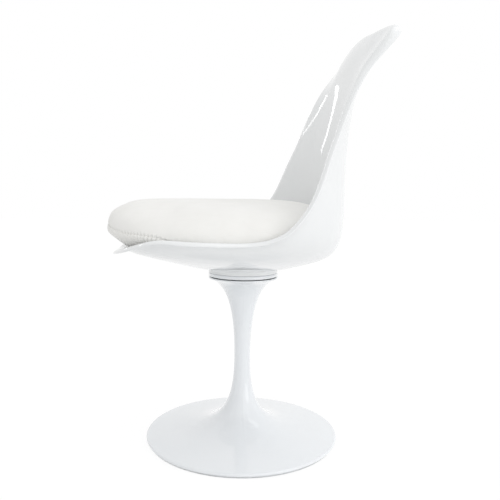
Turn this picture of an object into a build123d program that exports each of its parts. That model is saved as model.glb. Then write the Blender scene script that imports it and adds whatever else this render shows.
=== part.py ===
"""Swivel side chair: a trumpet pedestal, a ball-bearing swivel, a moulded seat shell and a seat cushion.

Millimetres. The origin is on the floor on the swivel axis, +Z is up, and the chair faces -Y.
"""
import os

from build123d import *

os.makedirs("parts", exist_ok=True)

# Driving dimensions: pedestal
foot_diameter = 384.0       # outer edge of the round foot
foot_edge = 6.0             # thickness of the foot at its edge
foot_land = 15.0            # width of the flat ring under the edge of the foot
foot_wall = 8.0             # wall of the hollow foot and trumpet
neck_diameter = 32.0        # narrowest part of the column
neck_height = 165.0         # height of the narrowest part
hollow_drop = 45.0          # neck down to where the hollow starts to open out
flare_drop = 140.0          # how far the neck pulls the lower flare straight down
foot_spread = 123.0         # how far the edge pulls the lower flare inwards
foot_rise = 15.0            # how far the foot climbs over that spread
head_diameter = 138.0       # round top of the column and the swivel plate on it
head_height = 328.0         # height of the top of the column
head_edge = 2.5             # thickness of the edge of the head
flare_lift = 90.0           # how far the neck pulls the upper flare straight up
head_spread = 40.0          # how far the head pulls the upper flare inwards
head_sink = 13.5            # how far the head falls over that spread

# Driving dimensions: glide ring under the foot
glide_height = 5.0
glide_width = 8.0
glide_groove = 2.0          # how deep the ring sits in the foot
glide_margin = 4.0          # foot edge to the outside of the ring

# Driving dimensions: swivel
journal_diameter = 20.0     # spindle in the bearing and the upper bush
spindle_diameter = 16.0     # spindle in the lower bush
bush_wall = 2.0
upper_bush_length = 16.0
lower_bush_length = 22.0
journal_step = 2.0          # end of the journal above the end of its bush
web_height = 194.0          # underside of the web that keeps the spindle in
web_thickness = 6.0
running_clearance = 0.05    # radial clearance of the spindle in its bushes
web_clearance = 0.4         # radial clearance of the spindle in the web
axial_play = 0.2            # lift of the spindle before its washer meets the web
washer_diameter = 20.0
washer_thickness = 2.5
core_clearance = 0.5        # radial room for the washer in the hollow column
retaining_thread = 8.0
retaining_grip = 22.0       # length of the retaining bolt in the spindle
thread_runout = 3.0         # tapped hole beyond the end of the bolt
retaining_head_width = 13.0
retaining_head_height = 5.3
spring_washer_diameter = 14.5
spring_washer_thickness = 2.0
thread_clearance = 0.02     # radial clearance of a bolt in its tapped hole
swivel_gap = 1.5            # open gap between the head and the swivel plate
plate_thickness = 7.5
plate_rounding = 2.5

# Driving dimensions: thrust bearing
race_diameter = 35.0
race_thickness = 3.0
race_recess = 0.5           # depth of the upper race in the swivel plate
race_clearance = 0.3        # radial room round the race that turns against its seat
seat_clearance = 0.05       # radial fit of a race that stays still on its seat
ball_diameter = 4.5
ball_count = 12
groove_depth = 0.75         # depth of the grooves that the balls run in
ball_clearance = 0.12       # room between a ball and its grooves or its pocket
cage_thickness = 2.0
cage_clearance = 0.6        # radial room between the cage and the spindle or its recess

# Driving dimensions: seat shell, outer surface, heights measured from its underside
shell_wall = 5.0
pad_radius = 70.0           # flat bottom
boss_radius = 64.0          # round boss that stands on the swivel plate
boss_height = 10.0
shell_bolt_spacing = 60.0   # square pattern of the bolts
shell_bolt_thread = 6.0
shell_bolt_clearance = 0.4
shell_bolt_grip = 6.0       # length of a bolt in the swivel plate
bolt_head_diameter = 10.5
bolt_head_height = 3.2
bolt_washer_diameter = 18.0
bolt_washer_thickness = 1.6
bolt_recess = 0.2           # bolt head below the face of the shell
bolt_socket_width = 4.0
bolt_socket_depth = 2.0
counterbore_clearance = 0.8

# Driving dimensions: cushion
hook_thickness = 1.5
loop_thickness = 1.0        # loop tape below the face of the cover
tape_width = 24.0
tape_length = 118.0
tape_spacing = 4.0
cover_thickness = 1.2
cover_opening = 64.0        # radius of the opening under the cover
pan_thickness = 4.0
pan_height = 34.0           # height of the edge of the moulded pan
cushion_side = 236.0        # half width at the widest line of the cushion
cushion_back = 179.0        # widest line to the swivel axis at the back
cushion_front = 262.0       # and at the front, where it hangs over the lip
cushion_widest = 76.0       # height of the widest line
cushion_crown = 136.0       # height of the crown
cushion_tuck = 17.0         # how far the cushion is drawn in under its front edge
cushion_steps = (0, 2, 6, 13, 23, 36, 50)
crown_shares = (0, 0.25, 0.5, 0.7, 0.82, 0.9, 0.945, 0.97)     # upper rings, as shares of the rise
side_fullness = 2.3
back_fullness = 3.0
front_edge_fullness = 5.0

# Driving dimensions: lines of the shell, as pairs of distance from the axis and height, with end directions
side_points = ((140, 14), (212, 38.5), (250, 68), (265, 130), (268, 220), (276, 340), (290, 403),
               (312, 485))
back_points = ((137, 14), (172, 31), (188, 75), (190, 150), (194, 260), (199.5, 320), (206.5, 380), (214, 420),
               (225, 440), (241, 455), (280, 480))
front_points = ((143, 13.5), (220, 35.5), (265, 57), (288, 105), (292, 180), (292, 330), (292, 485))
side_end, back_end, front_end = (0.3, 0.95), (0.87, 0.5), (0, 1)

# Driving dimensions: rim of the shell, cut by a line in the side view and a line in the front view
rim_points = ((-262, 42), (-194, 55), (-110, 65.5), (-11, 59), (44, 75), (85, 126), (122, 212),
              (142.5, 262), (157, 306), (167, 350), (172, 420), (173, 480))
crest_points = ((300, 150), (216, 212), (190, 261), (177, 306), (170, 347), (166.5, 384), (172, 400),
                (180, 411), (185, 420), (183, 428), (172, 433), (140, 439), (80, 445), (0, 448))
crest_start = (-0.7, 0.7)   # direction of the front view line at its lower end
cut_reach = 400.0           # beyond every edge of the shell

# Driving dimensions: level rings of the shell, and how full they are at the back and at the front
ring_steps = (0, 2, 6, 13, 23, 36, 52, 75, 110, 150, 200, 250, 300, 345, 380, 408, 430, 448, 462, 475)
round_shoulder, round_fullness = 0.63, 0.494
flat_start, flat_length = 200.0, 198.0      # height where the back starts to flatten, and how slowly it does
front_shoulder, front_fullness = 0.77, 0.80
front_blend = 150.0         # reach beyond the pad over which the front gets its fullness

# Values shared by several pieces
foot_radius = foot_diameter / 2
neck_radius = neck_diameter / 2
head_radius = head_diameter / 2
journal_radius = journal_diameter / 2
spindle_radius = spindle_diameter / 2
race_radius = race_diameter / 2
ball_radius = ball_diameter / 2
race_gap = ball_diameter - 2 * groove_depth
foot_bottom = glide_height - glide_groove
plate_bottom = head_height + swivel_gap
plate_top = plate_bottom + plate_thickness
race_top = plate_bottom + race_recess
bearing_middle = race_top - race_thickness - race_gap / 2
bearing_seat = race_top - 2 * race_thickness - race_gap
bearing_recess = race_radius + race_clearance
ball_circle = (journal_radius + race_radius) / 2
bush_bottom = bearing_seat - upper_bush_length
web_top = web_height + web_thickness
spindle_end = web_height - axial_play
core_radius = washer_diameter / 2 + core_clearance
shell_base = plate_top + boss_height
seat_inset = shell_wall + hook_thickness + loop_thickness

# Pedestal: a hollow casting, turned about the swivel axis
with BuildPart() as pedestal:
    with BuildSketch(Plane.XZ):
        with BuildLine():
            edge_radius = foot_edge / 2
            edge_line = foot_radius - edge_radius
            foot_top = foot_bottom + foot_edge
            land_line = foot_radius - foot_land - edge_radius
            foot_pull = (edge_line - foot_spread, foot_top + foot_rise)
            neck_pull = (neck_radius, neck_height - flare_drop)
            hollow_top = neck_height - hollow_drop
            Line((land_line, foot_bottom), (edge_line, foot_bottom))
            ThreePointArc(
                (edge_line, foot_bottom),
                (foot_radius, foot_bottom + edge_radius),
                (edge_line, foot_top),
            )
            Bezier((edge_line, foot_top), foot_pull, neck_pull, (neck_radius, neck_height))
            Bezier(
                (neck_radius, neck_height),
                (neck_radius, neck_height + flare_lift),
                (head_radius - head_spread, head_height - head_edge - head_sink),
                (head_radius, head_height - head_edge),
            )
            Polyline(
                (head_radius, head_height - head_edge),
                (head_radius, head_height),
                (bearing_recess, head_height),
                (bearing_recess, bearing_seat),
                (journal_radius + bush_wall, bearing_seat),
                (journal_radius + bush_wall, bush_bottom),
                (spindle_radius + bush_wall, bush_bottom),
                (spindle_radius + bush_wall, web_top),
                (spindle_radius + web_clearance, web_top),
                (spindle_radius + web_clearance, web_height),
                (core_radius, web_height),
                (core_radius, hollow_top),
            )
            Bezier(
                (core_radius, hollow_top),
                (core_radius, neck_pull[1] + foot_wall),
                (foot_pull[0] - foot_wall, foot_pull[1] - foot_wall),
                (land_line, foot_bottom),
            )
        make_face()
    revolve(axis=Axis.Z)
    with BuildSketch(Plane.XY.offset(foot_bottom)):
        Circle(foot_radius - glide_margin)
        Circle(foot_radius - glide_margin - glide_width, mode=Mode.SUBTRACT)
    extrude(amount=glide_groove, mode=Mode.SUBTRACT)
pedestal.part.label = "pedestal"
export_step(pedestal.part, "parts/pedestal.step")

# Glide ring: what the chair stands on
with BuildPart() as glide_ring:
    with BuildSketch():
        Circle(foot_radius - glide_margin)
        Circle(foot_radius - glide_margin - glide_width, mode=Mode.SUBTRACT)
    extrude(amount=glide_height)
glide_ring.part.label = "glide_ring"
export_step(glide_ring.part, "parts/glide_ring.step")


def ring(bottom, top, inner_radius, outer_radius):
    """A plain ring about the swivel axis, added to the part in hand."""
    with BuildSketch(Plane.XY.offset(bottom)) as profile:
        Circle(outer_radius)
        Circle(inner_radius, mode=Mode.SUBTRACT)
    extrude(profile.sketch, amount=top - bottom)


with BuildPart() as upper_bush:
    ring(bush_bottom, bearing_seat, journal_radius + running_clearance, journal_radius + bush_wall)
upper_bush.part.label = "upper_bush"
export_step(upper_bush.part, "parts/upper_bush.step")

with BuildPart() as lower_bush:
    ring(web_top, web_top + lower_bush_length, spindle_radius + running_clearance, spindle_radius + bush_wall)
lower_bush.part.label = "lower_bush"
export_step(lower_bush.part, "parts/lower_bush.step")


def race_groove():
    """The round groove that the balls run in, cut from the part in hand."""
    with BuildSketch(Plane.XZ) as profile:
        with Locations((ball_circle, bearing_middle)):
            Circle(ball_radius + ball_clearance)
    revolve(profile.sketch, axis=Axis.Z, mode=Mode.SUBTRACT)


with BuildPart() as thrust_race_lower:
    ring(
        bearing_seat,
        bearing_seat + race_thickness,
        journal_radius + race_clearance,
        bearing_recess - seat_clearance,
    )
    race_groove()
thrust_race_lower.part.label = "thrust_race_lower"
export_step(thrust_race_lower.part, "parts/thrust_race_lower.step")

with BuildPart() as thrust_race_upper:
    ring(race_top - race_thickness, race_top, journal_radius + seat_clearance, race_radius)
    race_groove()
thrust_race_upper.part.label = "thrust_race_upper"
export_step(thrust_race_upper.part, "parts/thrust_race_upper.step")

with BuildPart() as thrust_cage:
    ring(
        bearing_middle - cage_thickness / 2,
        bearing_middle + cage_thickness / 2,
        journal_radius + cage_clearance,
        race_radius - cage_clearance,
    )
    with Locations(Plane.XY.offset(bearing_middle)):
        with PolarLocations(ball_circle, ball_count):
            Hole(ball_radius + ball_clearance)
thrust_cage.part.label = "thrust_cage"
export_step(thrust_cage.part, "parts/thrust_cage.step")

with BuildPart() as thrust_balls:
    with Locations(Plane.XY.offset(bearing_middle)):
        with PolarLocations(ball_circle, ball_count):
            Sphere(ball_radius)
thrust_balls.part.label = "thrust_balls"
export_step(thrust_balls.part, "parts/thrust_balls.step")

# Swivel plate: the round flange that carries the shell
with BuildPart() as swivel_plate:
    ring(plate_bottom, plate_top, journal_radius + seat_clearance, head_radius)
    outer_edges = edges().filter_by(GeomType.CIRCLE).group_by(SortBy.RADIUS)[-1]
    fillet(outer_edges, plate_rounding)
    with BuildSketch(Plane.XY.offset(plate_bottom)):
        Circle(race_radius + seat_clearance)
    extrude(amount=race_recess, mode=Mode.SUBTRACT)
    with Locations(Plane.XY.offset(plate_top)):
        with GridLocations(shell_bolt_spacing, shell_bolt_spacing, 2, 2):
            Hole(shell_bolt_thread / 2 + thread_clearance)
swivel_plate.part.label = "swivel_plate"
export_step(swivel_plate.part, "parts/swivel_plate.step")

# Spindle: a stepped shaft, welded into the plate and tapped at its foot
with BuildPart() as spindle:
    with BuildSketch(Plane.XZ):
        with BuildLine():
            bore = retaining_thread / 2 + thread_clearance
            bore_top = spindle_end + retaining_grip + thread_runout
            Polyline(
                (bore, spindle_end),
                (spindle_radius, spindle_end),
                (spindle_radius, bush_bottom + journal_step),
                (journal_radius, bush_bottom + journal_step),
                (journal_radius, plate_top),
                (0, plate_top),
                (0, bore_top),
                (bore, bore_top),
                close=True,
            )
        make_face()
    revolve(axis=Axis.Z)
spindle.part.label = "spindle"
export_step(spindle.part, "parts/spindle.step")

# Retaining washer, spring washer and bolt under the web
with BuildPart() as retaining_washer:
    ring(
        spindle_end - washer_thickness,
        spindle_end,
        retaining_thread / 2 + web_clearance,
        washer_diameter / 2,
    )
retaining_washer.part.label = "retaining_washer"
export_step(retaining_washer.part, "parts/retaining_washer.step")

spring_top = spindle_end - washer_thickness
with BuildPart() as spring_washer:
    ring(
        spring_top - spring_washer_thickness,
        spring_top,
        retaining_thread / 2 + web_clearance,
        spring_washer_diameter / 2,
    )
spring_washer.part.label = "spring_washer"
export_step(spring_washer.part, "parts/spring_washer.step")

bolt_seat = spring_top - spring_washer_thickness
with BuildPart() as retaining_bolt:
    with BuildSketch(Plane.XY.offset(bolt_seat)):
        RegularPolygon(retaining_head_width / 2, 6, major_radius=False)
    extrude(amount=-retaining_head_height)
    with BuildSketch(Plane.XY.offset(bolt_seat)):
        Circle(retaining_thread / 2)
    extrude(amount=spindle_end + retaining_grip - bolt_seat)
retaining_bolt.part.label = "retaining_bolt"
export_step(retaining_bolt.part, "parts/retaining_bolt.step")


def shell_line(points, end_direction):
    """One line of the shell in the half plane of distance and height, leaving the pad level."""
    with BuildLine() as line:
        Spline((pad_radius, 0), *points, tangents=((1, 0), end_direction))
    return line.line


side_line = shell_line(side_points, side_end)
back_line = shell_line(back_points, back_end)
front_line = shell_line(front_points, front_end)


def reach(line, height, inset):
    """Distance from the axis at one height, on the line moved inwards by the inset."""
    low, high = 0.0, 1.0
    for _ in range(40):
        middle = (low + high) / 2
        point, run = line @ middle, line % middle
        if point.Y + inset * run.X < height:
            low = middle
        else:
            high = middle
    return point.X - inset * run.Y


def half_ring(side, depth, shoulder, fullness):
    """Control points of one half of a level ring, from the +X side round to the -X side."""
    pull = depth * (32 - 10 * shoulder) / 20    # brings the middle of the curve out to the depth
    half = [(side, 0), (side, shoulder * depth), (fullness * side, pull)]
    return half + [(-x, y) for x, y in reversed(half)]


def level_ring(height, side, back, front):
    """One level ring of the shell or cushion: round at the back, fuller at the front."""
    flattening = max(height - flat_start, 0) / flat_length
    grown = min(max((front - pad_radius) / front_blend, 0), 1)
    shoulder = round_shoulder + (front_shoulder - round_shoulder) * grown
    fullness = round_fullness + (front_fullness - round_fullness) * grown
    with BuildSketch(Plane.XY.offset(shell_base + height)) as profile:
        with BuildLine():
            Bezier(*half_ring(side, back, round_shoulder + flattening**2, round_fullness))
            Bezier(*reversed(half_ring(side, -front, shoulder, fullness)))
        make_face()
    return profile.sketch


def tub_rings(inset, steps):
    """Level rings of the shell's outer form, moved inwards by the inset."""
    rings = []
    for step in steps:
        height = inset + step
        reaches = [reach(line, height, inset) for line in (side_line, back_line, front_line)]
        rings.append(level_ring(height, *reaches))
    return rings


# Seat shell: a lofted tub, hollowed and cut along its rim in the side view and the front view
with BuildPart() as seat_shell:
    loft(tub_rings(0, ring_steps))
    loft(tub_rings(shell_wall, ring_steps), mode=Mode.SUBTRACT)
    with BuildSketch(Plane.YZ):
        with BuildLine():
            rim = Spline(*((y, shell_base + z) for y, z in rim_points))
            Polyline(
                rim @ 1,
                (cut_reach, (rim @ 1).Y),
                (cut_reach, plate_top),
                ((rim @ 0).X, plate_top),
                rim @ 0,
            )
        make_face()
    extrude(amount=cut_reach, both=True, mode=Mode.INTERSECT)
    with BuildSketch(Plane.XZ):
        with BuildLine():
            crest = Spline(*((x, shell_base + z) for x, z in crest_points), tangents=(crest_start, (-1, 0)))
            Polyline(crest @ 1, (0, plate_top), ((crest @ 0).X, plate_top), crest @ 0)
        make_face()
        mirror(about=Plane.YZ)
    extrude(amount=cut_reach, both=True, mode=Mode.INTERSECT)
    with BuildSketch(Plane.XY.offset(plate_top)):
        Circle(boss_radius)
    extrude(amount=boss_height)
    with Locations(Plane.XY.offset(shell_base + shell_wall)):
        with GridLocations(shell_bolt_spacing, shell_bolt_spacing, 2, 2):
            CounterBoreHole(
                radius=shell_bolt_thread / 2 + shell_bolt_clearance,
                counter_bore_radius=bolt_washer_diameter / 2 + counterbore_clearance,
                counter_bore_depth=bolt_head_height + bolt_washer_thickness + bolt_recess,
            )
seat_shell.part.label = "seat_shell"
export_step(seat_shell.part, "parts/seat_shell.step")

# Bolts and washers of the shell, down through its boss into the swivel plate
washer_seat = shell_base + shell_wall - bolt_head_height - bolt_washer_thickness - bolt_recess
bolt_grid = GridLocations(shell_bolt_spacing, shell_bolt_spacing, 2, 2)
with BuildPart() as shell_washers:
    with BuildSketch(Plane.XY.offset(washer_seat)):
        with bolt_grid:
            Circle(bolt_washer_diameter / 2)
            Circle(shell_bolt_thread / 2 + shell_bolt_clearance, mode=Mode.SUBTRACT)
    extrude(amount=bolt_washer_thickness)
shell_washers.part.label = "shell_washers"
export_step(shell_washers.part, "parts/shell_washers.step")

head_seat = washer_seat + bolt_washer_thickness
with BuildPart() as shell_bolts:
    with BuildSketch(Plane.XY.offset(head_seat)):
        with bolt_grid:
            Circle(bolt_head_diameter / 2)
    extrude(amount=bolt_head_height)
    fillet(edges().group_by(Axis.Z)[-1], bolt_head_height / 2)
    with BuildSketch(Plane.XY.offset(head_seat + bolt_head_height)):
        with bolt_grid:
            RegularPolygon(bolt_socket_width / 2, 6, major_radius=False)
    extrude(amount=-bolt_socket_depth, mode=Mode.SUBTRACT)
    with BuildSketch(Plane.XY.offset(head_seat)):
        with bolt_grid:
            Circle(shell_bolt_thread / 2)
    extrude(amount=-(head_seat - plate_top + shell_bolt_grip))
shell_bolts.part.label = "shell_bolts"
export_step(shell_bolts.part, "parts/shell_bolts.step")

# Hook tape on the shell and loop tape under the cushion: one long strip and two short ones across it
hook_bottom = shell_base + shell_wall
hook_top = hook_bottom + hook_thickness
pan_bottom = shell_base + seat_inset + cover_thickness


def tape_strips(bottom, top):
    """The three strips of tape between two heights, added to the part in hand."""
    short_length = (tape_length - tape_width) / 2 - tape_spacing
    short_middle = (tape_length - short_length) / 2
    with BuildSketch(Plane.XY.offset(bottom)) as profile:
        Rectangle(tape_length, tape_width)
        with Locations((0, short_middle), (0, -short_middle)):
            Rectangle(tape_width, short_length)
    extrude(profile.sketch, amount=top - bottom)


with BuildPart() as hook_tapes:
    tape_strips(hook_bottom, hook_top)
hook_tapes.part.label = "hook_tapes"
export_step(hook_tapes.part, "parts/hook_tapes.step")

with BuildPart() as loop_tapes:
    tape_strips(hook_top, pan_bottom)
loop_tapes.part.label = "loop_tapes"
export_step(loop_tapes.part, "parts/loop_tapes.step")


def crown_scale(rise, fullness):
    """Share of the widest ring that is left at a share of the rise to the crown."""
    return (1 - rise**fullness) ** (1 / fullness)


def cushion_rings(skin):
    """Level rings of the cushion from its flat bottom to its crown, inside a skin of that thickness."""
    inset = seat_inset + skin
    lower = []
    for step in cushion_steps:
        height = inset + step
        side, back, front = (reach(line, height, inset) for line in (side_line, back_line, front_line))
        drawn_in = cushion_tuck * (step / cushion_steps[-1]) ** 2
        lower.append(level_ring(height, side, back, front - drawn_in))
    upper = []
    crown_rise = cushion_crown - cushion_widest - skin
    for rise in crown_shares:
        upper.append(
            level_ring(
                cushion_widest + crown_rise * rise,
                (cushion_side - skin) * crown_scale(rise, side_fullness),
                (cushion_back - skin) * crown_scale(rise, back_fullness),
                (cushion_front - skin) * crown_scale(rise, front_edge_fullness),
            )
        )
    return lower + upper


# Cushion: a moulded pan and a foam block in a cover that is drawn in under them
with BuildPart() as cushion_pan:
    loft(cushion_rings(cover_thickness))
    with BuildSketch(Plane.XY.offset(shell_base)):
        Rectangle(2 * cut_reach, 2 * cut_reach)
    extrude(amount=pan_height, mode=Mode.INTERSECT)
    loft(tub_rings(seat_inset + cover_thickness + pan_thickness, cushion_steps), mode=Mode.SUBTRACT)
cushion_pan.part.label = "cushion_pan"
export_step(cushion_pan.part, "parts/cushion_pan.step")

with BuildPart() as cushion_foam:
    loft(cushion_rings(cover_thickness))
    add(cushion_pan.part, mode=Mode.SUBTRACT)
cushion_foam.part.label = "cushion_foam"
export_step(cushion_foam.part, "parts/cushion_foam.step")

with BuildPart() as cushion_cover:
    loft(cushion_rings(0))
    loft(cushion_rings(cover_thickness), mode=Mode.SUBTRACT)
    with BuildSketch(Plane.XY.offset(shell_base + shell_wall)):
        Circle(cover_opening)
    extrude(amount=seat_inset - shell_wall + cover_thickness, mode=Mode.SUBTRACT)
cushion_cover.part.label = "cushion_cover"
export_step(cushion_cover.part, "parts/cushion_cover.step")
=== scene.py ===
# %% [markdown]
# # A swivel side chair on a trumpet pedestal
#
# The chair has a gloss white moulded shell, a loose fabric cushion and a white lacquered pedestal that lets
# the seat turn. The exact solids come from a CAD model. This lesson loads them as a fixed frame, rebuilds the
# two pieces whose beauty is in their curves, the shell and the cushion, and gives every piece its finish.

# %% Load the frame
import math

import bpy
import numpy as np
from mathutils import Matrix, Quaternion, Vector


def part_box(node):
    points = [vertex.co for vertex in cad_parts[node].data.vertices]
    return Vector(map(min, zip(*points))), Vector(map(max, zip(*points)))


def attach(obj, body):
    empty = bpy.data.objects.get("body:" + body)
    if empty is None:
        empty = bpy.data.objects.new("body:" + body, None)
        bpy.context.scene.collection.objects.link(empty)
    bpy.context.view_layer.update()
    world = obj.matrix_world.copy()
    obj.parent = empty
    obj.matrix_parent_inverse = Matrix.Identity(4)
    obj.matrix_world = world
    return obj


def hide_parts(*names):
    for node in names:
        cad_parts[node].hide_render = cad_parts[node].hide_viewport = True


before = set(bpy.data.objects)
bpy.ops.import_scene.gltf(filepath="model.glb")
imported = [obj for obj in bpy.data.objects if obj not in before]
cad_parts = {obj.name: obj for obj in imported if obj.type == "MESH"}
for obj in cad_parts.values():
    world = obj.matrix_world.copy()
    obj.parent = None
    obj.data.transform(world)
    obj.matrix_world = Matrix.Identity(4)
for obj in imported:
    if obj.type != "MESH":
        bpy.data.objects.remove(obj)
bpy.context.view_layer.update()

# %% [markdown]
# ## Small helpers
#
# Blender's operators act on whatever is selected, and the loaded nodes start out selected. So each step first
# picks one piece alone. Modifiers are applied as soon as they are set, which leaves plain meshes behind.

# %% Pick one piece, and apply a modifier to it
def pick(piece):
    """Make one piece the only selected and active object."""
    bpy.ops.object.select_all(action="DESELECT")
    piece.select_set(True)
    bpy.context.view_layer.objects.active = piece


def apply_modifier(piece, kind, **settings):
    """Add a modifier, set it and apply it at once."""
    pick(piece)
    modifier = piece.modifiers.new(kind.title(), kind)
    for name, value in settings.items():
        setattr(modifier, name, value)
    bpy.ops.object.modifier_apply(modifier=modifier.name)


def merge_and_face_outwards(piece, distance=0.00002):
    """Close the seams of a mesh and turn its faces outwards, which at the bottom of a piece means down."""
    pick(piece)
    bpy.ops.object.mode_set(mode="EDIT")
    bpy.ops.mesh.select_all(action="SELECT")
    bpy.ops.mesh.remove_doubles(threshold=distance)
    bpy.ops.mesh.normals_make_consistent(inside=False)
    bpy.ops.object.mode_set(mode="OBJECT")
    bottom_band = 0.001
    bottom = min(face.center.z for face in piece.data.polygons) + bottom_band
    if sum(face.normal.z * face.area for face in piece.data.polygons if face.center.z < bottom) > 0:
        bpy.ops.object.mode_set(mode="EDIT")
        bpy.ops.mesh.flip_normals()
        bpy.ops.object.mode_set(mode="OBJECT")


def read_points(piece):
    """The places of all vertices, as rows of x, y and z."""
    points = np.empty(len(piece.data.vertices) * 3)
    piece.data.vertices.foreach_get("co", points)
    return points.reshape(-1, 3)


def move_points(piece, points):
    """Put all vertices at new places."""
    piece.data.vertices.foreach_set("co", np.asarray(points, float).ravel())
    piece.data.update()


def read_normals(piece):
    """The outward direction at each vertex."""
    normals = np.empty(len(piece.data.vertices) * 3)
    piece.data.vertex_normals.foreach_get("vector", normals)
    return normals.reshape(-1, 3)


# %% [markdown]
# ## The lines of the shell
#
# A shell like this is drawn with a few lines: how far it reaches to the side, to the back and to the front at
# each height, and the line of its rim in the side view and in the front view. The same points drive the CAD
# solids, here in millimetres. A smooth curve through points is worked out the way a spline tool does it, by
# asking each piece of curve to meet the next with the same direction and the same bend.

# %% Smooth lines through points
def smooth_line(points, start=None, end=None, count=900):
    """A smooth curve through points, as many close points. A given direction is kept at that end."""
    points = np.array(points, float)
    steps = np.linalg.norm(np.diff(points, axis=0), axis=1)
    places = np.concatenate(([0], np.cumsum(steps)))
    last = len(points) - 1
    matrix = np.zeros((last + 1, last + 1))
    target = np.zeros((last + 1, 2))
    for i in range(1, last):
        before, after = steps[i - 1], steps[i]
        matrix[i, i - 1:i + 2] = after, 2 * (before + after), before
        target[i] = 3 * (after * (points[i] - points[i - 1]) / before
                         + before * (points[i + 1] - points[i]) / after)
    for row, inner, step, direction in ((0, 1, steps[0], start), (last, last - 1, steps[-1], end)):
        if direction is None:
            matrix[row, row], matrix[row, inner] = 2, 1
            target[row] = 3 * (points[max(row, inner)] - points[min(row, inner)]) / step
        else:
            matrix[row, row] = 1
            target[row] = np.array(direction) / np.linalg.norm(direction)
    slopes = np.linalg.solve(matrix, target)
    wanted = np.linspace(0, places[-1], count)
    piece = np.clip(np.searchsorted(places, wanted, side="right") - 1, 0, last - 1)
    step = steps[piece]
    share = ((wanted - places[piece]) / step)[:, None]
    step = step[:, None]
    return (
        (1 + 2 * share) * (1 - share) ** 2 * points[piece]
        + share * (1 - share) ** 2 * step * slopes[piece]
        + share**2 * (3 - 2 * share) * points[piece + 1]
        + share**2 * (share - 1) * step * slopes[piece + 1]
    )


shell_base = 347.0          # underside of the shell above the floor
pad_radius = 70.0           # flat bottom
side_line = smooth_line(
    ((pad_radius, 0), (140, 14), (212, 38.5), (250, 68), (265, 130), (268, 220), (276, 340), (290, 403),
     (312, 485)), (1, 0), (0.3, 0.95))
back_line = smooth_line(
    ((pad_radius, 0), (137, 14), (172, 31), (188, 75), (190, 150), (194, 260), (199.5, 320), (206.5, 380),
     (214, 420), (225, 440), (241, 455), (280, 480)), (1, 0), (0.87, 0.5))
front_line = smooth_line(
    ((pad_radius, 0), (143, 13.5), (220, 35.5), (265, 57), (288, 105), (292, 180), (292, 330), (292, 485)),
    (1, 0), (0, 1))
rim_line = smooth_line(
    ((-262, 42), (-194, 55), (-110, 65.5), (-11, 59), (44, 75), (85, 126), (122, 212), (142.5, 262), (157, 306),
     (167, 350), (172, 420), (173, 480)))
crest_line = smooth_line(
    ((300, 150), (216, 212), (190, 261), (177, 306), (169.5, 347), (166, 384), (163, 405), (153, 422),
     (135, 433), (105, 440), (60, 446), (0, 448)), (-0.7, 0.7), (-1, 0))
print("shell lines from", side_line[0].round(1), "to", back_line[-1].round(1))


# %% [markdown]
# ## Level rings
#
# At each height the shell is a closed ring: round at the back, fuller at the front, and flattened towards the
# top of the back. Each half of a ring is a curve with six control points, so a place on the shell is known
# from a height and from a turn, which runs from 0 at the middle of the back over 0.5 at the side to 1 at the
# middle of the front.

# %% A place on a ring
flat_from, flat_climb = 200.0, 198.0            # the back flattens from this height, over this climb
round_shoulder, round_fullness = 0.63, 0.494    # control points of a round half ring
front_shoulder, front_fullness = 0.14, 0.306    # what the fuller front adds to them
front_growth = 150.0                            # the reach over which the front gets that fullness


def reach(line, height, inset=0.0):
    """Distance from the axis at each height, on a line moved inwards by the inset."""
    run = np.gradient(line, axis=0)
    run /= np.linalg.norm(run, axis=1)[:, None]
    return np.interp(height, line[:, 1] + inset * run[:, 0], line[:, 0] - inset * run[:, 1])


def ring_place(turn, height, side, back, front):
    """x and y at a turn on the ring of one height, from its reach to the side, back and front."""
    flattening = np.maximum(height - flat_from, 0) / flat_climb
    grown = np.clip((front - pad_radius) / front_growth, 0, 1)
    at_back = turn <= 0.5
    shoulder = np.where(at_back, round_shoulder + flattening**2, round_shoulder + front_shoulder * grown)
    fullness = np.where(at_back, round_fullness, round_fullness + front_fullness * grown)
    depth = np.where(at_back, back, -front)
    t = np.abs(0.5 - turn)
    pull = depth * (32 - 10 * shoulder) / 20
    weight = [math.comb(5, i) * t**i * (1 - t) ** (5 - i) for i in range(6)]
    x = side * (weight[0] + weight[1] - weight[4] - weight[5]) + fullness * side * (weight[2] - weight[3])
    y = shoulder * depth * (weight[1] + weight[4]) + pull * (weight[2] + weight[3])
    return x, y


def shell_place(turn, height):
    """x and y on the outer face of the shell."""
    turn, height = np.asarray(turn, float), np.asarray(height, float)
    return ring_place(turn, height, *(reach(line, height) for line in (side_line, back_line, front_line)))


print("widest ring:", [float(v.round(1)) for v in shell_place(0.5, 60.0)])

# %% [markdown]
# ## Where the rim runs
#
# The rim is where the shell meets two cuts: one line in the side view, and one in the front view for the top
# of the back. Down the back the rim is steep, so it is found height by height. Round the seat it is nearly
# level, so there it is found turn by turn. The two stretches make one line, which is then divided evenly by
# its length, so that the net gets even meshes at its edge.

# %% Find the rim
columns = 84                # meshes from the middle of the back to the middle of the front
turns = np.linspace(0, 0.5, 3001)
steep = rim_line[:, 0] > 44         # behind this place the rim climbs steeply
steep_heights = np.concatenate((crest_line[::-1, 1], np.linspace(149, 90, 60)))
rim_turns, rim_heights = [], []
for height in steep_heights:
    x, y = shell_place(turns, np.full_like(turns, height))
    inside = y >= np.interp(height, rim_line[steep, 1], rim_line[steep, 0])
    if height >= crest_line[0, 1]:
        inside &= x <= np.interp(height, crest_line[:, 1], crest_line[:, 0]) + 1e-6
    rim_turns.append(turns[inside].max() if inside.any() else 0.0)
    rim_heights.append(height)
low_heights = np.linspace(20, 140, 2401)
for turn in np.linspace(rim_turns[-1], 1, 400)[1:]:
    y = shell_place(np.full_like(low_heights, turn), low_heights)[1]
    over = low_heights > np.interp(y, rim_line[:, 0], rim_line[:, 1])
    rim_turns.append(turn)
    rim_heights.append(low_heights[over.argmax()])
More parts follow.
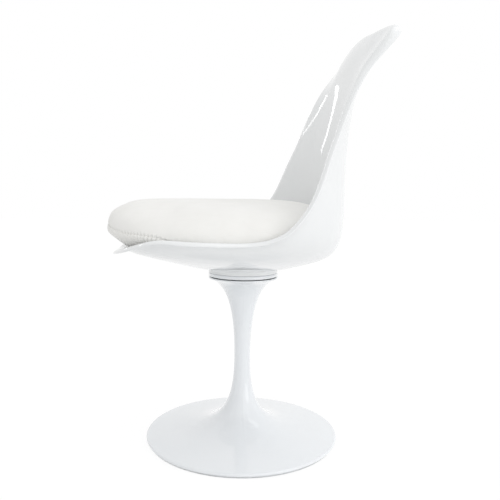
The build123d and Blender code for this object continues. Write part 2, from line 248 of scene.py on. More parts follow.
rim_turns, rim_heights = np.array(rim_turns), np.array(rim_heights)
rim_x, rim_y = shell_place(rim_turns, rim_heights)
rim_length = np.concatenate(([0], np.cumsum(np.linalg.norm(np.diff(
    np.column_stack((rim_x, rim_y, rim_heights)), axis=0), axis=1))))
even = np.linspace(0, rim_length[-1], columns + 1)
column_turn = np.interp(even, rim_length, rim_turns)
column_height = np.interp(even, rim_length, rim_heights)
print("half of the rim measures", round(rim_length[-1]), "mm")

# %% [markdown]
# ## The lip
#
# A moulded edge is never sharp. Towards the rim the wall turns outwards in an ever tighter curve, which
# stiffens the edge and gives the fine bright line that runs round the whole chair. The lip is small round the
# seat and wider at the top of the back and at the front. Its length and its bend are set at stations along
# the rim, counted in millimetres from the middle of the back. The net below it ends short of the rim, so that
# the top of the lip comes out near the rim line. It passes that line by a few millimetres where the photograph
# shows a taller edge, and is pulled up a little along the sides of the seat. The lip could also be a bevel on
# a finished wall, but a bevel has one width, and here the width and the bend change all the way.

# %% Plan the lip along the rim
wall = 5.0
lip_edge = 3.0              # wall at the free edge of the lip
lip_rows = 12
bend_ends = 0.85            # share of the lip by which it has made its whole bend
stations = (0, 90, 146, 194, 243, 292, 340, 389, 437, 486, 534, 583, 632, 680, 729, 777, 826, 875, 930, 1020)
lip_length = (20, 21, 23, 21, 16, 14, 13, 13, 13, 13, 13, 13, 13, 13, 13, 14, 17, 21, 25, 28)
lip_bend = (75, 82, 98, 94, 86, 82, 82, 84, 86, 90, 96, 100, 102, 102, 100, 98, 90, 76, 62, 52)
# How far the lip passes the rim line, and how far it is pulled up:
lip_over = (0, 0, 8, 14, 14, 12, 6, 5.5, 4.5, 4, 4, 2, 1, 1, 1, 2, 3, 3, 3, 2)
lip_rise = (0, 0, 0, 0, 0, 0, 0, 0, 0, 0.5, 6, 8.5, 8.5, 6, 4.5, 7.5, 4.2, 2, 0.7, -2)


def along_rim(values):
    """A value for each column of the net, smooth between the stations."""
    line = smooth_line(np.column_stack((stations, values)))
    return np.interp(even / even[-1], line[:, 0] / stations[-1], line[:, 1])


lip_length, lip_bend = along_rim(lip_length), np.radians(along_rim(lip_bend))
lip_share = np.linspace(0, 1, lip_rows + 1)
lip_turn = np.clip(lip_share / bend_ends, 0, 1)
lip_turn = lip_bend[:, None] * lip_turn**2 * (3 - 2 * lip_turn)
middle = (lip_turn[:, 1:] + lip_turn[:, :-1]) / 2
none = np.zeros((columns + 1, 1))
lip_up = np.hstack((none, np.cumsum(np.cos(middle), axis=1))) * lip_length[:, None] / lip_rows
lip_out = np.hstack((none, np.cumsum(np.sin(middle), axis=1))) * lip_length[:, None] / lip_rows
lip_wall = wall + (lip_edge - wall) * lip_share
lip_reach = (lip_up + lip_wall * np.sin(lip_turn)).max(axis=1)
lip_reach -= along_rim(lip_over)
print("lip reaches", lip_reach.min().round(1), "to", lip_reach.max().round(1), "mm up, and out by",
      lip_out[:, -1].min().round(1), "to", lip_out[:, -1].max().round(1))


# %% Step back from the rim to where the lip starts
def unit(vectors):
    """The same directions, each with a length of 1."""
    return vectors / np.linalg.norm(vectors, axis=-1, keepdims=True)


def shell_point(turn, height):
    """x, y and height of a place on the outer face of the shell."""
    return np.stack((*shell_place(turn, height), height), axis=-1)


step_count = 6              # the way back is curved, so it is walked in short steps
start_turn, start_height = column_turn.copy(), column_height.copy()
for _ in range(step_count):
    run = unit(np.gradient(shell_point(start_turn, start_height), axis=0))
    run[0] = run[-1] = np.array((1.0, 0, 0))
    over_turn = (shell_point(start_turn + 0.002, start_height)
                 - shell_point(start_turn - 0.002, start_height)) / 0.004
    over_height = (shell_point(start_turn, start_height + 1) - shell_point(start_turn, start_height - 1)) / 2
    outwards = unit(np.cross(over_turn, over_height))
    inwards = unit(np.cross(outwards, run))
    inwards *= np.where((inwards * over_height).sum(1) > 0, -1, 1)[:, None]
    for k in range(columns + 1):
        directions = np.stack((over_turn[k], over_height[k]), axis=1)
        step = np.linalg.lstsq(directions, inwards[k] * lip_reach[k] / step_count, rcond=None)[0]
        start_turn[k] += step[0]
        start_height[k] += step[1]
    start_turn[0], start_turn[-1] = 0.0, 1.0
print("lip starts between", start_height.min().round(1), "and", start_height.max().round(1), "mm up")

# %% [markdown]
# ## The net of the shell
#
# One half of the shell starts as a flat grid, like a net. Its columns run from the bottom of the seat to the
# rim and its rows climb the wall, so each vertex is moved to its place on the rings, and the last rows follow
# the lip. Modelling only one half and mirroring it keeps both sides the same.

# %% Lay the net
pad_rows, wall_rows = 5, 42
rows = pad_rows + wall_rows + lip_rows
climb = np.concatenate(([0], np.cumsum(np.linalg.norm(np.diff(side_line, axis=0), axis=1))))
lower_turn = np.interp(even / even[-1], (0, 0.57, 1), (0, 0.42, 1))     # spreads the columns at the bottom
wall_share = np.linspace(0, 1, wall_rows + 1)
wall_climb = np.interp(start_height, side_line[:, 1], climb)[:, None] * wall_share
wall_height = np.interp(wall_climb, climb, side_line[:, 1])
drift = wall_share**3                   # how far a row has moved to the columns of the rim
pulled_up = wall_share**20              # only the last rows of the wall follow the lip upwards
wall_turn = lower_turn[:, None] * (1 - drift) + start_turn[:, None] * drift
net_points = np.zeros((columns + 1, rows + 1, 3))
net_points[:, pad_rows:pad_rows + wall_rows + 1] = shell_point(wall_turn, wall_height)
for row in range(pad_rows):
    net_points[:, row] = net_points[:, pad_rows] * (row / pad_rows)
net_points[:, pad_rows:pad_rows + wall_rows + 1, 2] += along_rim(lip_rise)[:, None] * pulled_up
lip_start = net_points[:, pad_rows + wall_rows]
run = unit(np.gradient(lip_start, axis=0))
run[0] = run[-1] = np.array((1.0, 0, 0))
upwards = lip_start - net_points[:, pad_rows + wall_rows - 1]
upwards = unit(upwards - run * (upwards * run).sum(1)[:, None])
outwards = np.cross(run, upwards)
outwards *= np.where((outwards[:, :2] * lip_start[:, :2]).sum(1) < 0, -1, 1)[:, None]
for row in range(1, lip_rows + 1):
    net_points[:, pad_rows + wall_rows + row] = (
        lip_start + upwards * lip_up[:, row, None] + outwards * lip_out[:, row, None])
net_points[0, :, 0] = net_points[-1, :, 0] = 0.0
quads = np.diff(wall_turn[:, :-1], axis=0) * np.diff(wall_height, axis=1)[:-1] - np.diff(
    wall_turn, axis=1)[:-1] * np.diff(wall_height[:, :-1], axis=0)
print("smallest mesh of the net:", quads.min(), "which is over 0 where no mesh is folded")

bpy.ops.object.select_all(action="DESELECT")
bpy.ops.mesh.primitive_grid_add(x_subdivisions=columns, y_subdivisions=rows, size=1)
shell = bpy.context.object
shell.name = shell.data.name = "moulded_shell"
net = read_points(shell)
column = np.rint((net[:, 0] + 0.5) * columns).astype(int)
row = np.rint((net[:, 1] + 0.5) * rows).astype(int)
move_points(shell, (net_points[column, row] + (0, 0, shell_base)) / 1000)
wall_share_group = shell.vertex_groups.new(name="wall_share")
for lip_row in range(rows + 1):
    share = lip_wall[max(lip_row - pad_rows - wall_rows, 0)] / wall
    wall_share_group.add(np.flatnonzero(row == lip_row).tolist(), share, "REPLACE")
apply_modifier(shell, "MIRROR", use_axis=(True, False, False), merge_threshold=0.00002)
merge_and_face_outwards(shell)
print("shell net:", len(shell.data.vertices), "vertices")

# %% [markdown]
# ## Ears and wall
#
# The two upper corners of the back are drawn out and back into small ears. By hand this is a pull on one
# vertex with proportional editing, so the same soft falloff is used here. Solidify then gives the wall its
# thickness inwards, thinner towards the edge of the lip. Bevel rounds the two edges of the rim, and one level
# of Subdivision Surface makes all of it flow.

# %% Draw out the ears, thicken and round the shell
pulls = (
    ((0.105, 0.232, 0.786), (0.0, 0.0, -0.002), 0.075),      # the top edge dips beside the middle
    ((0.170, 0.212, 0.775), (0.016, 0.015, 0.004), 0.080),   # the ear itself
)
points = read_points(shell)
for place, pull, radius in pulls:
    for side in (1, -1):
        mirror = np.array((side, 1, 1))
        away = np.linalg.norm(points - np.array(place) * mirror, axis=1) / radius
        points = points + np.clip(1 - away**2, 0, 1)[:, None] ** 2 * np.array(pull) * mirror
move_points(shell, points)
apply_modifier(shell, "SOLIDIFY", thickness=wall / 1000, offset=-1.0, use_even_offset=False,
               vertex_group="wall_share")
edge_round = 0.0013
apply_modifier(shell, "BEVEL", width=edge_round, segments=3, limit_method="ANGLE",
               angle_limit=math.radians(60))
apply_modifier(shell, "SUBSURF", levels=1, render_levels=1)
print("shell:", len(shell.data.polygons), "faces")

# %% [markdown]
# ## The boss and its bolt holes
#
# Under the shell a round boss stands on the swivel plate, and four counterbored holes take the bolts. The boss
# is a disc, extruded ring by ring along its profile, so that it runs into the shell through a soft fillet.
# Boolean modifiers join it and cut the holes, as a mould and a drill would. They leave a few slivers, which
# are merged away at the end.

# %% Add the boss and cut the holes
def round_bar(radius, bottom, top, place, sides):
    """A plain round bar between two heights, used to cut."""
    bpy.ops.object.select_all(action="DESELECT")
    bpy.ops.mesh.primitive_cylinder_add(vertices=sides, radius=radius, depth=top - bottom,
                                        location=(*place, (bottom + top) / 2))
    bar = bpy.context.object
    bpy.ops.object.transform_apply(location=True, rotation=True, scale=True)
    return bar


def carve(piece, way, *tools):
    """Join tool bodies to a piece, or cut them away, and remove them."""
    pick(tools[0])
    for tool in tools:
        tool.select_set(True)
    bpy.ops.object.join()
    apply_modifier(piece, "BOOLEAN", operation=way, object=tools[0], solver="EXACT")
    bpy.data.objects.remove(tools[0])


# Radius and height of each ring of the boss, from its foot up into the shell:
boss_profile = ((0.0668, 0.3370), (0.0682, 0.3373), (0.0686, 0.3380), (0.0684, 0.3400), (0.0690, 0.3424),
                (0.0708, 0.3446), (0.0745, 0.3466), (0.0800, 0.3482), (0.0800, 0.3500))
bpy.ops.object.select_all(action="DESELECT")
bpy.ops.mesh.primitive_circle_add(vertices=128, radius=boss_profile[0][0], fill_type="NGON",
                                  location=(0, 0, boss_profile[0][1]))
boss = bpy.context.object
bpy.ops.object.transform_apply(location=True, rotation=True, scale=True)
bpy.ops.object.mode_set(mode="EDIT")
bpy.ops.mesh.select_all(action="SELECT")
for (old_radius, old_height), (radius, height) in zip(boss_profile, boss_profile[1:]):
    bpy.ops.mesh.extrude_region_move(TRANSFORM_OT_translate={"value": (0, 0, height - old_height)})
    growth = radius / old_radius
    bpy.ops.transform.resize(value=(growth, growth, 1), center_override=(0, 0, height))
bpy.ops.object.mode_set(mode="OBJECT")
merge_and_face_outwards(boss)
print("boss:", len(boss.data.polygons), "faces")
carve(shell, "UNION", boss)
bolt_offset = 0.030
counterbore_radius, counterbore_floor = 0.0098, 0.347
hole_radius, hole_bottom, hole_top = 0.0034, 0.33, 0.36
bolt_places = [(sx * bolt_offset, sy * bolt_offset) for sx in (-1, 1) for sy in (-1, 1)]
carve(shell, "DIFFERENCE", *(round_bar(counterbore_radius, counterbore_floor, hole_top, place, 48)
                             for place in bolt_places))
carve(shell, "DIFFERENCE", *(round_bar(hole_radius, hole_bottom, hole_top, place, 32) for place in bolt_places))
sliver = 0.00001
pick(shell)
bpy.ops.object.mode_set(mode="EDIT")
bpy.ops.mesh.select_all(action="SELECT")
bpy.ops.mesh.remove_doubles(threshold=sliver)
bpy.ops.mesh.dissolve_degenerate(threshold=sliver)
bpy.ops.object.mode_set(mode="OBJECT")
bpy.ops.object.shade_smooth_by_angle(angle=math.radians(40))
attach(shell, "seat")
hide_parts("seat_shell")
print("shell with boss:", len(shell.data.polygons), "faces")

# %% [markdown]
# ## The cushion before it is filled
#
# The cushion is a foam block on a moulded pan in a fabric cover. Its underside follows the inside of the
# shell, its widest line hangs over the front lip, and its crown is nearly flat. A round grid of rings is laid
# through those heights, a little smaller than the real thing, because the cloth is about to swell.

# %% Lay the rings of the cushion
seat_inset = 7.5            # wall of the shell and the tapes on it
cushion_widest, cushion_crown = 73.0, 136.0
cushion_sizes = (239.0, 180.0, 263.0)       # reach to the side, back and front
crown_fullness = (2.4, 3.0, 6.0)            # how square the crown is in these directions
underside_rise = 50.0       # from the middle of the underside to its edge
tuck = 17.0                 # how far the underside is drawn in at the front
slack = 2.0                 # how much smaller the cushion starts
ease = 2.5                  # how much nearer to the shell the edge of the underside lies


def cushion_ring(level):
    """Height and reach of one ring: level 0 to 1 is the underside, 1 to 2 the rise to the crown.

    Below 0 a ring of no size closes the underside, and at 2 the crown closes by itself."""
    if level < 0:
        return seat_inset, 0.0, 0.0, 0.0
    if level <= 1:
        height = seat_inset + underside_rise * level**1.5
        inset = seat_inset + slack - ease * level
        side, back, front = (reach(line, height, inset) for line in (side_line, back_line, front_line))
        return height, side, back, front - tuck * level**3
    rise = math.sin((level - 1) * math.pi / 2)
    height = cushion_widest + (cushion_crown - slack - cushion_widest) * rise
    shares = [(1 - rise**full) ** (1 / full) for full in crown_fullness]
    return height, *((size - slack) * share for size, share in zip(cushion_sizes, shares))


underside_rings, crown_rings, around = 12, 31, 120
levels = np.concatenate(((-1,), np.linspace(0, 1, underside_rings), np.linspace(1.0, 2.0, crown_rings)))
ring_count = len(levels)
bpy.ops.object.select_all(action="DESELECT")
bpy.ops.mesh.primitive_grid_add(x_subdivisions=around, y_subdivisions=ring_count - 1, size=1)
cushion = bpy.context.object
cushion.name = cushion.data.name = "seat_cushion"
net = read_points(cushion)
whole_turn = (net[:, 0] + 0.5) * 2
ring_index = np.rint((net[:, 1] + 0.5) * (ring_count - 1)).astype(int)
ring_sizes = np.array([cushion_ring(level) for level in levels])[ring_index]
half_turn = np.where(whole_turn <= 1, whole_turn, 2 - whole_turn)
x, y = ring_place(half_turn, ring_sizes[:, 0], *ring_sizes[:, 1:].T)
x = np.where(whole_turn <= 1, x, -x)
move_points(cushion, np.column_stack((x, y, ring_sizes[:, 0] + shell_base)) / 1000)
merge_and_face_outwards(cushion, 0.0001)
apply_modifier(cushion, "REMESH", mode="VOXEL", voxel_size=0.005)
apply_modifier(cushion, "SMOOTH", factor=0.5, iterations=4)
print("cushion before filling:", len(cushion.data.vertices), "vertices")

# %% [markdown]
# ## Filling the cushion
#
# Cloth with a little pressure inside does what foam does in a sewn cover: it pushes the fabric out everywhere
# except where it is held. The underside is held by the pan, and the seam that runs round the cushion is held
# by its thread, so the fabric bulges over the seam. How far a point may travel is capped, and the travel is
# evened out between neighbours, because foam has no sharp creases.

# %% Simulate the cover
seam_line = smooth_line(((-280, 438), (-262, 434.5), (-227, 426.5), (-190, 424.5), (-158, 421), (-125, 412),
                         (-80, 402), (0, 396), (200, 390))) / 1000
held_below = 0.395          # the pan holds all that lies lower
seam_hold = 0.004           # the thread holds the cloth this far from the seam
edge_zone = 0.9             # the edge of the cushion, seen from above, starts here


def seam_height(points):
    """Height of the seam: highest at the front, and hidden below the rim at the sides and the back."""
    return np.interp(points[:, 1], seam_line[:, 0], seam_line[:, 1])


def from_middle(points):
    """How far out a place lies, seen from above: about 1 along the edge of the cushion."""
    return np.hypot(points[:, 0] / 0.2, (points[:, 1] + 0.04) / 0.19)


rest = read_points(cushion)
held = cushion.vertex_groups.new(name="held")
below = rest[:, 2] < held_below
near_seam = np.abs(rest[:, 2] - seam_height(rest)) < seam_hold
pinned = np.flatnonzero(below | (near_seam & (from_middle(rest) > edge_zone))).tolist()
held.add(pinned, 1.0, "REPLACE")
print("held:", len(pinned), "of", len(rest), "vertices")
cloth = cushion.modifiers.new("Cover", "CLOTH")
cloth.settings.quality = 5
cloth.settings.mass = 0.3
cloth.settings.tension_stiffness = cloth.settings.compression_stiffness = 15
cloth.settings.bending_stiffness = 2.0
cloth.settings.use_pressure = True
cloth.settings.uniform_pressure_force = 4.0
cloth.settings.vertex_group_mass = "held"
cloth.settings.effector_weights.gravity = 0.0
last_frame = 20
for number in range(1, last_frame + 1):
    bpy.context.scene.frame_set(number)
pick(cushion)
bpy.ops.object.modifier_apply(modifier="Cover")
bpy.context.scene.frame_set(1)
travel = read_points(cushion) - rest
length = np.linalg.norm(travel, axis=1)
print("cover moved by up to", round(length.max() * 1000, 1), "mm before the cap")
cap, evening_passes, own_share = 0.006, 14, 0.4
travel *= (cap * np.tanh(length / cap) / np.maximum(length, 1e-9))[:, None]
ends = np.array([edge.vertices[:] for edge in cushion.data.edges])
neighbours = np.bincount(ends.ravel(), minlength=len(rest))[:, None]
for _ in range(evening_passes):
    total = np.zeros_like(travel)
    np.add.at(total, ends[:, 0], travel[ends[:, 1]])
    np.add.at(total, ends[:, 1], travel[ends[:, 0]])
    travel = own_share * travel + (1 - own_share) * total / neighbours
move_points(cushion, rest + travel)
apply_modifier(cushion, "SMOOTH", factor=0.5, iterations=3)

# %% [markdown]
# A sewn cover has the size that it was cut to, however it is filled. So the filled cover is let out in each
# direction until it fills the box of its solid. A finer mesh then makes it flow.

# %% Let the cover out
points = read_points(cushion)
low, high = points.min(0), points.max(0)
cut_low, cut_high = (np.array(corner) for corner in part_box("cushion_cover"))
move_points(cushion, cut_low + (points - low) / (high - low) * (cut_high - cut_low))
print("cover let out by", ((cut_high - cut_low - high + low) * 1000).round(1), "mm")
apply_modifier(cushion, "SUBSURF", levels=1, render_levels=1)

# %% [markdown]
# ## Seam and gathers
#
# Under the front edge a seam joins the top of the cover to its skirt, and round the front corners the skirt
# is gathered, because it has to go round a tighter curve. The seam is a fine groove. The gathers are ripples
# that are deepest at the seam and die out below it. Both need closer meshes, so the faces near the seam are
# subdivided first.

# %% Sew the seam
band_drop, band_half, band_back = 0.011, 0.019, 0.02        # the band of finer meshes at the seam
groove_depth, groove_width = 0.0022, 0.0018
gather_depth, gather_pitch = 0.0018, 0.0085
gather_angle, gather_spread = 0.80, 0.30                    # the front corners, seen from the middle
skirt_drop, skirt_lift = 0.016, 0.003                       # how far gathers run below and above the seam
edge_radius = 0.24
centres = np.array([f.center for f in cushion.data.polygons])
band = np.abs(centres[:, 2] - seam_height(centres) + band_drop) < band_half
band &= (centres[:, 1] < band_back) & (from_middle(centres) > edge_zone)
pick(cushion)
bpy.ops.object.mode_set(mode="EDIT")
bpy.ops.mesh.select_mode(type="FACE")
bpy.ops.mesh.select_all(action="DESELECT")
bpy.ops.object.mode_set(mode="OBJECT")
cushion.data.polygons.foreach_set("select", band)
bpy.ops.object.mode_set(mode="EDIT")
bpy.ops.mesh.subdivide(number_cuts=1, smoothness=0)
bpy.ops.object.mode_set(mode="OBJECT")
points, normals = read_points(cushion), read_normals(cushion)
above = points[:, 2] - seam_height(points)
at_edge = np.clip((from_middle(points) - edge_zone) / 0.1, 0, 1)
groove = -groove_depth * np.exp(-(above / groove_width) ** 2)
angle = np.arctan2(points[:, 0], -points[:, 1] - 0.02)
along = angle * edge_radius
corner = np.exp(-((np.abs(angle) - gather_angle) / gather_spread) ** 2)
uneven = 1.7 * np.sin(along / 0.031) + 1.1 * np.sin(along / 0.017)
ripple = np.sin(along / gather_pitch * 2 * np.pi + uneven)
skirt = np.where(above < 0, np.exp(-(above / skirt_drop) ** 2), np.exp(-(above / skirt_lift) ** 2))
push = (groove + gather_depth * ripple * corner * skirt) * at_edge
move_points(cushion, points + normals * push[:, None])
pick(cushion)
bpy.ops.object.shade_smooth()
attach(cushion, "seat")
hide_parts("cushion_cover", "cushion_foam")
low, high = read_points(cushion).min(0), read_points(cushion).max(0)
print("cushion:", len(cushion.data.polygons), "faces", low.round(4), high.round(4))


# %% [markdown]
# ## Finishes
#
# Every finish is a small node network on Object coordinates, which are metres in the chair's own frame, so a
# pattern keeps its real size. Each one varies its colour, its roughness and its surface a little, because no
# real surface is perfectly even.

# %% A base for all finishes
def finish(name, **sockets):
    """A new material with a principled shader whose constant sockets are set. Returns the parts to wire up."""
    material = bpy.data.materials.new(name)
    material.use_nodes = True
    tree = material.node_tree
    shader = tree.nodes["Principled BSDF"]
    for socket, value in sockets.items():
        shader.inputs[socket.replace("_", " ")].default_value = value
    coords = tree.nodes.new("ShaderNodeTexCoord")
    return material, tree, shader, coords.outputs["Object"]


def add_noise(tree, coords, scale, detail=3.0):
    """A soft random pattern, with the given number of blots to the metre."""
    node = tree.nodes.new("ShaderNodeTexNoise")
    node.inputs["Scale"].default_value = scale
    node.inputs["Detail"].default_value = detail
    node.inputs["Roughness"].default_value = 0.55
    tree.links.new(coords, node.inputs["Vector"])
    return node.outputs["Fac"]


def add_ramp(tree, value, *stops):
    """Turn a value into colours: each stop is a place and a colour."""
    node = tree.nodes.new("ShaderNodeValToRGB")
    elements = node.color_ramp.elements
    while len(elements) < len(stops):
        elements.new(0.5)
    for element, (place, colour) in zip(elements, stops):
        element.position = place
        element.color = (*colour, 1)
    tree.links.new(value, node.inputs["Fac"])
    return node.outputs["Color"]


def add_range(tree, value, low, high):
    """Spread a value from 0 to 1 over another range."""
    node = tree.nodes.new("ShaderNodeMapRange")
    node.inputs["To Min"].default_value = low
    node.inputs["To Max"].default_value = high
    tree.links.new(value, node.inputs["Value"])
    return node.outputs["Result"]


def add_bump(tree, shader, value, depth, strength):
    """Raise the surface by a value, by up to a depth in metres."""
    node = tree.nodes.new("ShaderNodeBump")
    node.inputs["Distance"].default_value = depth
    node.inputs["Strength"].default_value = strength
    tree.links.new(value, node.inputs["Height"])
    tree.links.new(node.outputs["Normal"], shader.inputs["Normal"])


# %% [markdown]
# ### Gloss white: moulded shell and lacquered pedestal
#
# The shell is a hard gloss plastic and the pedestal a sprayed lacquer. Both are cool whites with a clear
# mirror-like coat. The plastic has long faint waves from the mould, and the lacquer has a fine orange peel.

# %% Gloss finishes
def gloss_white(name, dark, light, peel_scale, peel_depth, **sockets):
    """A gloss white with faint clouds of colour, uneven gloss and a slightly wavy face."""
    material, tree, shader, coords = finish(name, **sockets)
    clouds = add_noise(tree, coords, 5.0)
    tree.links.new(add_ramp(tree, clouds, (0.3, dark), (0.7, light)), shader.inputs["Base Color"])
    gloss = add_range(tree, add_noise(tree, coords, 40.0), 0.03, 0.06)
    tree.links.new(gloss, shader.inputs["Roughness"])
    add_bump(tree, shader, add_noise(tree, coords, peel_scale, 2.0), peel_depth, 0.5)
    return material


shell_white = gloss_white("shell_white", (0.80, 0.815, 0.82), (0.835, 0.845, 0.85), 22.0, 0.0004, IOR=1.5)
pedestal_white = gloss_white("pedestal_white", (0.80, 0.825, 0.85), (0.835, 0.855, 0.875), 260.0, 0.00006,
                             IOR=1.5, Coat_Weight=1.0, Coat_Roughness=0.03)
print("gloss finishes:", shell_white.name, "and", pedestal_white.name)


# %% [markdown]
# ### Woven cover
#
# The cover is a warm white plain weave. Ridges run across all three directions, one every 1.8 mm, so that two
# sets cross on every face of the cushion. Clouds of slightly different whites keep the cloth from looking
# painted, and a little sheen stands for the fluff on the yarn.

# %% Fabric finish
def add_threads(tree, coords, scale, direction):
    """Soft ridges across one direction."""
    node = tree.nodes.new("ShaderNodeTexWave")
    node.bands_direction = direction
    node.inputs["Scale"].default_value = scale
    node.inputs["Distortion"].default_value = 1.2
    node.inputs["Detail"].default_value = 1.0
    node.inputs["Detail Scale"].default_value = 0.6
    tree.links.new(coords, node.inputs["Vector"])
    return node.outputs["Fac"]


def add_math(tree, operation, first, second):
    """Join two values by a sum, a product, or the greater of them."""
    node = tree.nodes.new("ShaderNodeMath")
    node.operation = operation
    for socket, value in zip(node.inputs, (first, second)):
        if isinstance(value, (int, float)):
            socket.default_value = value
        else:
            tree.links.new(value, socket)
    return node.outputs["Value"]


cover_white, tree, shader, coords = finish("cover_white", Sheen_Weight=0.25, Sheen_Roughness=0.5,
                                           Specular_IOR_Level=0.25)
clouds = add_noise(tree, coords, 14.0, 4.0)
tree.links.new(add_ramp(tree, clouds, (0.3, (0.83, 0.825, 0.80)), (0.7, (0.87, 0.865, 0.845))),
               shader.inputs["Base Color"])
tree.links.new(add_range(tree, add_noise(tree, coords, 90.0), 0.78, 0.92), shader.inputs["Roughness"])
thread_scale = 175.0
threads = [add_threads(tree, coords, thread_scale, direction) for direction in "XYZ"]
weave = add_math(tree, "ADD", add_math(tree, "ADD", threads[0], threads[1]), threads[2])
add_bump(tree, shader, add_math(tree, "ADD", weave, add_noise(tree, coords, 300.0)), 0.00015, 0.35)
print("fabric finish:", cover_white.name)


# %% [markdown]
# ### Hidden pieces
#
# The bearing, the spindle, the bolts, the tapes and the pan are seen only when the chair is taken apart. They
# still get a true finish: finely mottled steel, grained plastic and fuzzy tape.

# %% Steel, plastic and tape
def speckled(name, dark, light, scale, depth, rough, **sockets):
    """A finish with mottled colour, uneven gloss and a grain of one size."""
    material, tree, shader, coords = finish(name, **sockets)
    grain = add_noise(tree, coords, scale)
    tree.links.new(add_ramp(tree, grain, (0.3, dark), (0.7, light)), shader.inputs["Base Color"])
    tree.links.new(add_range(tree, add_noise(tree, coords, scale / 3), *rough), shader.inputs["Roughness"])
    add_bump(tree, shader, grain, depth, 0.6)
    return material


bearing_steel = speckled("bearing_steel", (0.55, 0.56, 0.58), (0.66, 0.67, 0.69), 900.0, 0.00001, (0.12, 0.22),
                         Metallic=1.0)
plain_steel = speckled("plain_steel", (0.46, 0.46, 0.47), (0.60, 0.60, 0.60), 500.0, 0.00003, (0.28, 0.42),
                       Metallic=1.0)
bush_plastic = speckled("bush_plastic", (0.70, 0.69, 0.64), (0.78, 0.77, 0.72), 300.0, 0.00004, (0.4, 0.55))
glide_plastic = speckled("glide_plastic", (0.62, 0.64, 0.65), (0.72, 0.74, 0.75), 200.0, 0.00005, (0.3, 0.45),
                         Transmission_Weight=0.35, IOR=1.49)
pan_plastic = speckled("pan_plastic", (0.045, 0.045, 0.05), (0.07, 0.07, 0.075), 700.0, 0.00008, (0.5, 0.7))
tape_nylon = speckled("tape_nylon", (0.62, 0.62, 0.60), (0.80, 0.80, 0.78), 1400.0, 0.0004, (0.8, 0.95),
                      Sheen_Weight=0.4)
print("finishes so far:", len(bpy.data.materials))

# %% Dress the nodes that stay
dress = {
    pedestal_white: ("pedestal", "swivel_plate"),
    glide_plastic: ("glide_ring",),
    bush_plastic: ("upper_bush", "lower_bush", "thrust_cage"),
    bearing_steel: ("thrust_race_lower", "thrust_race_upper", "thrust_balls"),
    plain_steel: ("spindle", "retaining_washer", "spring_washer", "retaining_bolt", "shell_bolts",
                  "shell_washers"),
    tape_nylon: ("hook_tapes", "loop_tapes"),
    pan_plastic: ("cushion_pan",),
    cover_white: ("cushion_cover", "cushion_foam"),
    shell_white: ("seat_shell",),
}
for material, names in dress.items():
    for name in names:
        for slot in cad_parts[name].material_slots:
            slot.material = material
shell.data.materials.clear()
shell.data.materials.append(shell_white)
cushion.data.materials.clear()
cushion.data.materials.append(cover_white)
print("dressed:", sum(len(names) for names in dress.values()), "nodes")

# %% [markdown]
# ## Floor, light and camera
#
# The chair stands on a white sweep. The camera sees the floor and the world as plain white, while the light
# that reaches the chair stays at a level where a white surface keeps its shading. As in a studio with one
# bright wall, more light comes from behind the chair than from its front, so the inside of the back is darker
# than its outside.

# %% Floor and world
def seen_directly(tree):
    """1 for what the camera sees, also in a mirror or through glass, and 0 for light that reaches the chair."""
    path = tree.nodes.new("ShaderNodeLightPath")
    seen = add_math(tree, "MAXIMUM", path.outputs["Is Camera Ray"], path.outputs["Is Glossy Ray"])
    return add_math(tree, "MAXIMUM", seen, path.outputs["Is Transmission Ray"])


bpy.ops.object.select_all(action="DESELECT")
bpy.ops.mesh.primitive_plane_add(size=16)
floor = bpy.context.object
floor.name = "studio_floor"
floor_white = bpy.data.materials.new("floor_white")
floor_white.use_nodes = True
tree = floor_white.node_tree
shader = tree.nodes["Principled BSDF"]
shader.inputs["Base Color"].default_value = (0.86, 0.86, 0.86, 1)
shader.inputs["Roughness"].default_value = 0.9
glow = tree.nodes.new("ShaderNodeEmission")
glow.inputs["Strength"].default_value = 1.03
mixer = tree.nodes.new("ShaderNodeMixShader")
tree.links.new(add_math(tree, "MULTIPLY", seen_directly(tree), 0.9), mixer.inputs["Fac"])
tree.links.new(shader.outputs["BSDF"], mixer.inputs[1])
tree.links.new(glow.outputs["Emission"], mixer.inputs[2])
tree.links.new(mixer.outputs["Shader"], tree.nodes["Material Output"].inputs["Surface"])
floor.data.materials.append(floor_white)

world = bpy.data.worlds.new("studio")
bpy.context.scene.world = world
world.use_nodes = True
tree = world.node_tree
background = tree.nodes["Background"]
background.inputs["Color"].default_value = (1, 1, 1, 1)
directions = tree.nodes.new("ShaderNodeTexCoord")
facing = tree.nodes.new("ShaderNodeVectorMath")
facing.operation = "DOT_PRODUCT"
facing.inputs[1].default_value = (0.25, 0.85, 0.45)        # the bright side
tree.links.new(directions.outputs["Generated"], facing.inputs[0])
light_side = tree.nodes.new("ShaderNodeMapRange")
light_side.inputs["From Min"].default_value = -1
light_side.inputs["To Min"].default_value = 0.66
light_side.inputs["To Max"].default_value = 1.06
tree.links.new(facing.outputs["Value"], light_side.inputs["Value"])
world_level = tree.nodes.new("ShaderNodeMapRange")
tree.links.new(seen_directly(tree), world_level.inputs["Value"])
tree.links.new(light_side.outputs["Result"], world_level.inputs["To Min"])
tree.links.new(world_level.outputs["Result"], background.inputs["Strength"])
print("stage:", floor.name, "and", world.name)


# %% [markdown]
# Three soft boxes model the form: one behind the camera's right shoulder, one above and one low behind the
# seat. The bright loop in the gloss inside the back is the mirror image of long narrow lamps in front of the
# chair on its far side. Two thin strips stand there, and light linking lets them reach the shell alone, so
# that they leave no streaks on the pedestal.

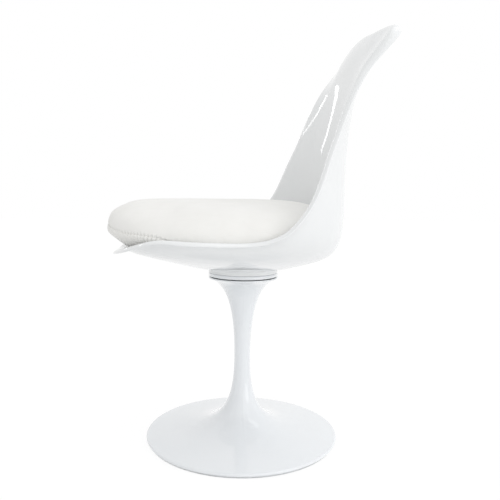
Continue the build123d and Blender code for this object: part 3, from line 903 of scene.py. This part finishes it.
# %% Lamps
def soft_lamp(name, place, target, width, height, power, lean=0.0):
    """A soft box that faces a target. It leans by an angle, seen from behind it."""
    bpy.ops.object.select_all(action="DESELECT")
    bpy.ops.object.light_add(type="AREA", location=place)
    lamp = bpy.context.object
    lamp.name = name
    lamp.data.shape = "RECTANGLE"
    lamp.data.size, lamp.data.size_y = width, height
    lamp.data.energy = power
    turn = (Vector(target) - Vector(place)).to_track_quat("-Z", "Y")
    lamp.rotation_euler = (turn @ Quaternion((0, 0, 1), math.radians(lean))).to_euler()
    return lamp


soft_lamp("key_lamp", (1.9, 0.9, 1.2), (0, 0, 0.45), 1.8, 1.8, 3.5)
soft_lamp("top_lamp", (0.1, 0.6, 2.4), (0, 0, 0.45), 1.6, 1.6, 6)
soft_lamp("low_lamp", (1.3, 1.3, 0.2), (0, 0, 0.35), 1.0, 1.0, 3.2)
strips = (
    soft_lamp("high_strip", (-1.390, -1.237, 1.405), (-0.15, 0.172, 0.672), 2.0, 0.04, 0.95, -4),
    soft_lamp("leaning_strip", (-1.786, -0.782, 1.045), (-0.076, 0.186, 0.645), 1.05, 0.04, 0.5, -22),
)
lit_by_strips = bpy.data.collections.new("lit_by_strips")
lit_by_strips.objects.link(shell)
for strip in strips:
    strip.light_linking.receiver_collection = lit_by_strips

# %% [markdown]
# The camera stands almost square to the chair's side, a little above the seat, and looks slightly down. Its
# place was found from the ellipses of the round foot and the round top of the pedestal.

# %% Camera
azimuth, pitch, yaw, roll = (math.radians(degrees) for degrees in (85.0, 6.0, 0.64, -0.72))
distance, camera_height, lens_share = 1.174, 0.5038, 1.18654
up = Vector((0, 0, 1))
heading = Vector((-math.sin(azimuth), math.cos(azimuth), 0))
forward = heading * math.cos(yaw) + heading.cross(up) * math.sin(yaw)
right = forward.cross(up)
forward = forward * math.cos(pitch) - up * math.sin(pitch)
above = right.cross(forward)
across = right * math.cos(roll) - above * math.sin(roll)
above = above * math.cos(roll) + right * math.sin(roll)
bpy.ops.object.select_all(action="DESELECT")
bpy.ops.object.camera_add()
camera = bpy.context.object
camera.data.sensor_width = 36.0
camera.data.lens = 36.0 * lens_share
camera.matrix_world = Matrix((
    (across.x, above.x, -forward.x, -distance * heading.x),
    (across.y, above.y, -forward.y, -distance * heading.y),
    (across.z, above.z, -forward.z, camera_height),
    (0, 0, 0, 1),
))
bpy.context.scene.camera = camera
bpy.context.scene.view_settings.view_transform = "Standard"
print("camera at", [round(v, 3) for v in camera.location])
